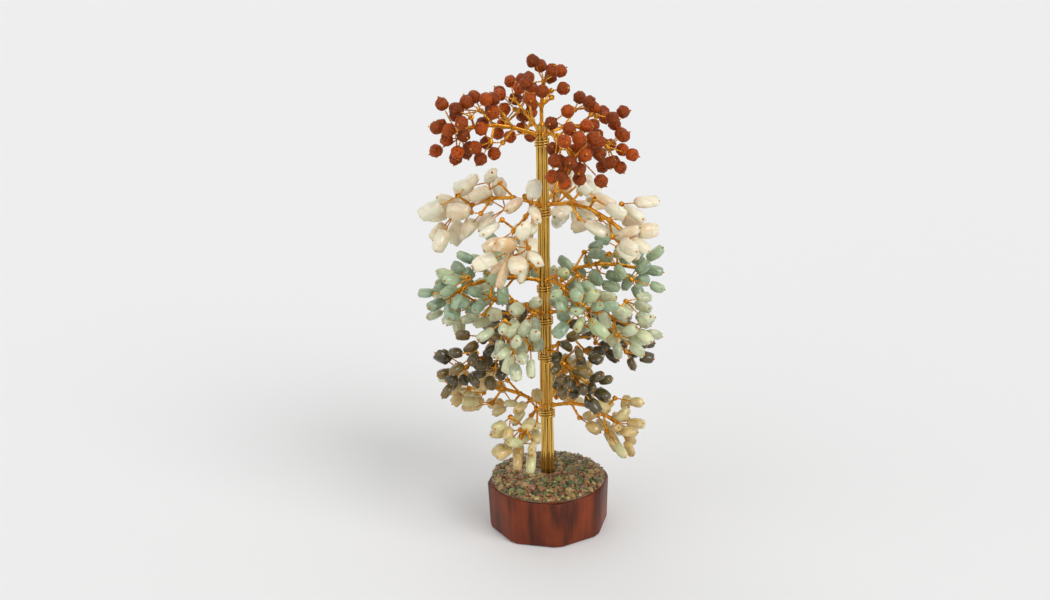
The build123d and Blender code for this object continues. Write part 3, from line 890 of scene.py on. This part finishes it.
class GEMTREE_OT_seed_beads(bpy.types.Operator):
    """Make the knobbly seed beads of the crown"""

    bl_idname = "gemtree.seed_beads"
    bl_label = "Seed beads"

    def execute(self, context):
        finish = seed_finish()
        knobs = settings("stone").bead_knobs
        for body in BRANCHES:
            if not body.startswith(BEADED):
                continue
            chance = random.Random(body)
            _, _, twigs = read_branch(body)
            bm = bmesh.new()
            bm.verts.layers.float.new("tint")
            for points in stone_islands(f"{body}_stones"):
                centre = box_middle(points)
                radius = max((point - centre).length for point in points)
                axis = nearest_axis(points, twigs)
                gather(bm, bead_at(centre, axis, radius, knobs, chance), chance.random())
            piece_from(bm, f"{body}_seed_beads", body, [f"{body}_stones"], finish)
        return {"FINISHED"}


class GEMTREE_OT_stage(bpy.types.Operator):
    """Set the floor, the soft lights and the camera"""

    bl_idname = "gemtree.stage"
    bl_label = "Stage"

    def execute(self, context):
        scene = context.scene
        stage = settings("stage")
        scene.view_settings.view_transform = "Standard"
        self.floor(tuple(stage.paper))
        self.sky(tuple(stage.paper))
        self.lamp("key", (0.7, -0.75, 0.95), 35.0, 1.35)
        self.lamp("fill", (-0.9, -0.6, 0.7), 60.0, 0.45)
        self.lamp("rim", (-0.3, 0.9, 0.9), 50.0, 0.35)
        camera = bpy.data.objects.new("camera", bpy.data.cameras.new("camera"))
        scene.collection.objects.link(camera)
        camera.data.lens = stage.lens
        camera.data.sensor_width = SENSOR_WIDTH
        camera.data.clip_start = 0.01
        place = Matrix.Translation((stage.aside, -stage.distance, stage.height))
        tilt = Matrix.Rotation(math.pi / 2 - stage.pitch, 4, "X")
        camera.matrix_world = place @ tilt @ Matrix.Rotation(-stage.roll, 4, "Z")
        scene.camera = camera
        return {"FINISHED"}

    def floor(self, paper):
        bm = bmesh.new()
        bmesh.ops.create_grid(bm, x_segments=1, y_segments=1, size=FLOOR_REACH)
        mesh = bpy.data.meshes.new("floor")
        bm.to_mesh(mesh)
        bm.free()
        floor = bpy.data.objects.new("floor", mesh)
        bpy.context.scene.collection.objects.link(floor)
        finish = Finish("paper")
        mesh.materials.append(finish.wear(Base_Color=paper, Roughness=0.8, Specular_IOR_Level=0.1))

    def sky(self, paper):
        world = bpy.data.worlds.new("studio")
        bpy.context.scene.world = world
        world.use_nodes = True
        nodes, links = world.node_tree.nodes, world.node_tree.links
        light = nodes["Background"]
        light.inputs["Color"].default_value = (1.0, 1.0, 1.0, 1.0)
        light.inputs["Strength"].default_value = SKY_LIGHT
        shown = nodes.new("ShaderNodeBackground")
        shown.inputs["Color"].default_value = (*paper, 1.0)
        rays = nodes.new("ShaderNodeLightPath")
        mix = nodes.new("ShaderNodeMixShader")
        seen = rays.outputs["Is Camera Ray"]
        for name in ("Is Glossy Ray", "Is Transmission Ray"):
            either = nodes.new("ShaderNodeMath")
            either.operation = "MAXIMUM"
            links.new(seen, either.inputs[0])
            links.new(rays.outputs[name], either.inputs[1])
            seen = either.outputs[0]
        links.new(seen, mix.inputs[0])
        links.new(light.outputs[0], mix.inputs[1])
        links.new(shown.outputs[0], mix.inputs[2])
        links.new(mix.outputs[0], nodes["World Output"].inputs["Surface"])

    def lamp(self, name, place, spread, strength):
        data = bpy.data.lights.new(name, "SUN")
        data.angle = math.radians(spread)
        data.energy = strength
        lamp = bpy.data.objects.new(name, data)
        bpy.context.scene.collection.objects.link(lamp)
        aim = -Vector(place)
        turn = aim.to_track_quat("-Z", "Y").to_matrix().to_4x4()
        lamp.matrix_world = Matrix.Translation(place) @ turn


class GEMTREE_PT_panel(bpy.types.Panel):
    """Lists the steps that build the tree"""

    bl_idname = "GEMTREE_PT_panel"
    bl_label = "Gemstone tree"
    bl_space_type = "VIEW_3D"
    bl_region_type = "UI"
    bl_category = "Gem Tree"

    def draw(self, context):
        for step in STEPS:
            self.layout.operator(step.bl_idname)


STEPS = (
    GEMTREE_OT_stage,
    GEMTREE_OT_wooden_base,
    GEMTREE_OT_gravel,
    GEMTREE_OT_branch_wires,
    GEMTREE_OT_trunk,
    GEMTREE_OT_chip_stones,
    GEMTREE_OT_seed_beads,
)
GROUPS = {
    "wire": GEMTREE_PG_wire,
    "stone": GEMTREE_PG_stone,
    "base": GEMTREE_PG_base,
    "stage": GEMTREE_PG_stage,
}


def register():
    for cls in (*GROUPS.values(), *STEPS, GEMTREE_PT_panel):
        bpy.utils.register_class(cls)
    for name, cls in GROUPS.items():
        setattr(bpy.types.Scene, f"gemtree_{name}", PointerProperty(type=cls))


def unregister():
    for name in GROUPS:
        delattr(bpy.types.Scene, f"gemtree_{name}")
    for cls in (GEMTREE_PT_panel, *reversed(STEPS), *GROUPS.values()):
        bpy.utils.unregister_class(cls)


def main():
    register()
    bpy.ops.gemtree.stage()
    bpy.ops.gemtree.wooden_base()
    bpy.ops.gemtree.gravel()
    bpy.ops.gemtree.branch_wires()
    bpy.ops.gemtree.trunk()
    bpy.ops.gemtree.chip_stones()
    bpy.ops.gemtree.seed_beads()


if __name__ == "__main__":
    main()
